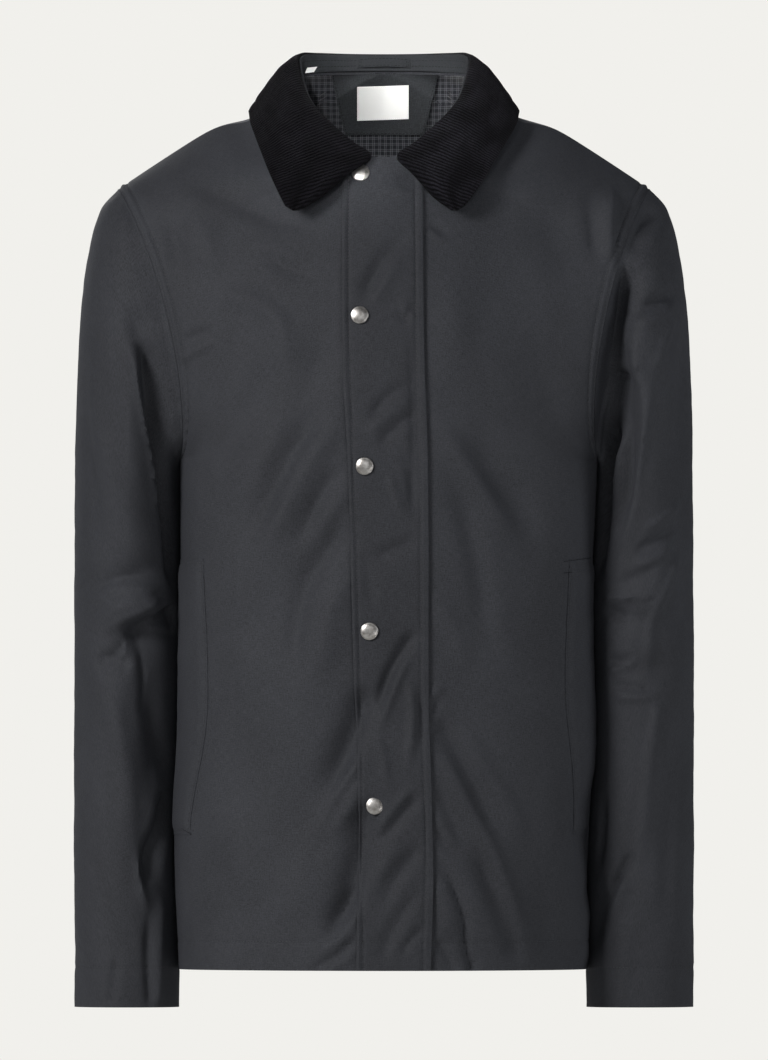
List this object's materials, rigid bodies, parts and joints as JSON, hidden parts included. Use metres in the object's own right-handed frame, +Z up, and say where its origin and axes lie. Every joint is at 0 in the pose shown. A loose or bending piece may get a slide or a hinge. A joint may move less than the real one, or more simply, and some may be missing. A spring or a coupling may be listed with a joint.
{
  "type": "short snap-front jacket with a corduroy collar",
  "caption": "Hip-length coated-cotton jacket, filled out as worn and open at neck, hem and cuffs, with a corduroy collar, a storm flap closed by snaps and side welt pockets.",
  "frame": {"origin": "between the shoulders at the base of the neck, where a wearer holds the jacket up", "axes": "+Z up, -Y towards the front of the jacket, +X towards the wearer's left"},
  "size_m": [0.521, 0.2613, 0.8022],
  "materials": {
    "coated_cotton": "satin, close weave with a faint coating sheen",
    "corduroy": "matt ribbed pile",
    "inner_cloth": "matt plain weave",
    "check_lining": "matt fine check",
    "label_cloth": "smooth blank woven tape",
    "snap_metal": "antique nickel"
  },
  "bodies": {
    "root": {"front_right": "coated_cotton", "front_left": "coated_cotton", "back": "coated_cotton", "sleeve_right": "coated_cotton", "sleeve_left": "coated_cotton", "storm_flap": "coated_cotton", "pocket_welt_right": "coated_cotton", "pocket_welt_left": "coated_cotton", "collar": "corduroy", "collar_stand": "inner_cloth", "neck_facing": "inner_cloth", "hanger_loop": "inner_cloth", "neck_lining": "check_lining", "neck_label": "label_cloth", "size_tab": "label_cloth", "snap_1": "snap_metal", "snap_2": "snap_metal", "snap_3": "snap_metal", "snap_4": "snap_metal", "snap_5": "snap_metal"}
  },
  "joints": []
}
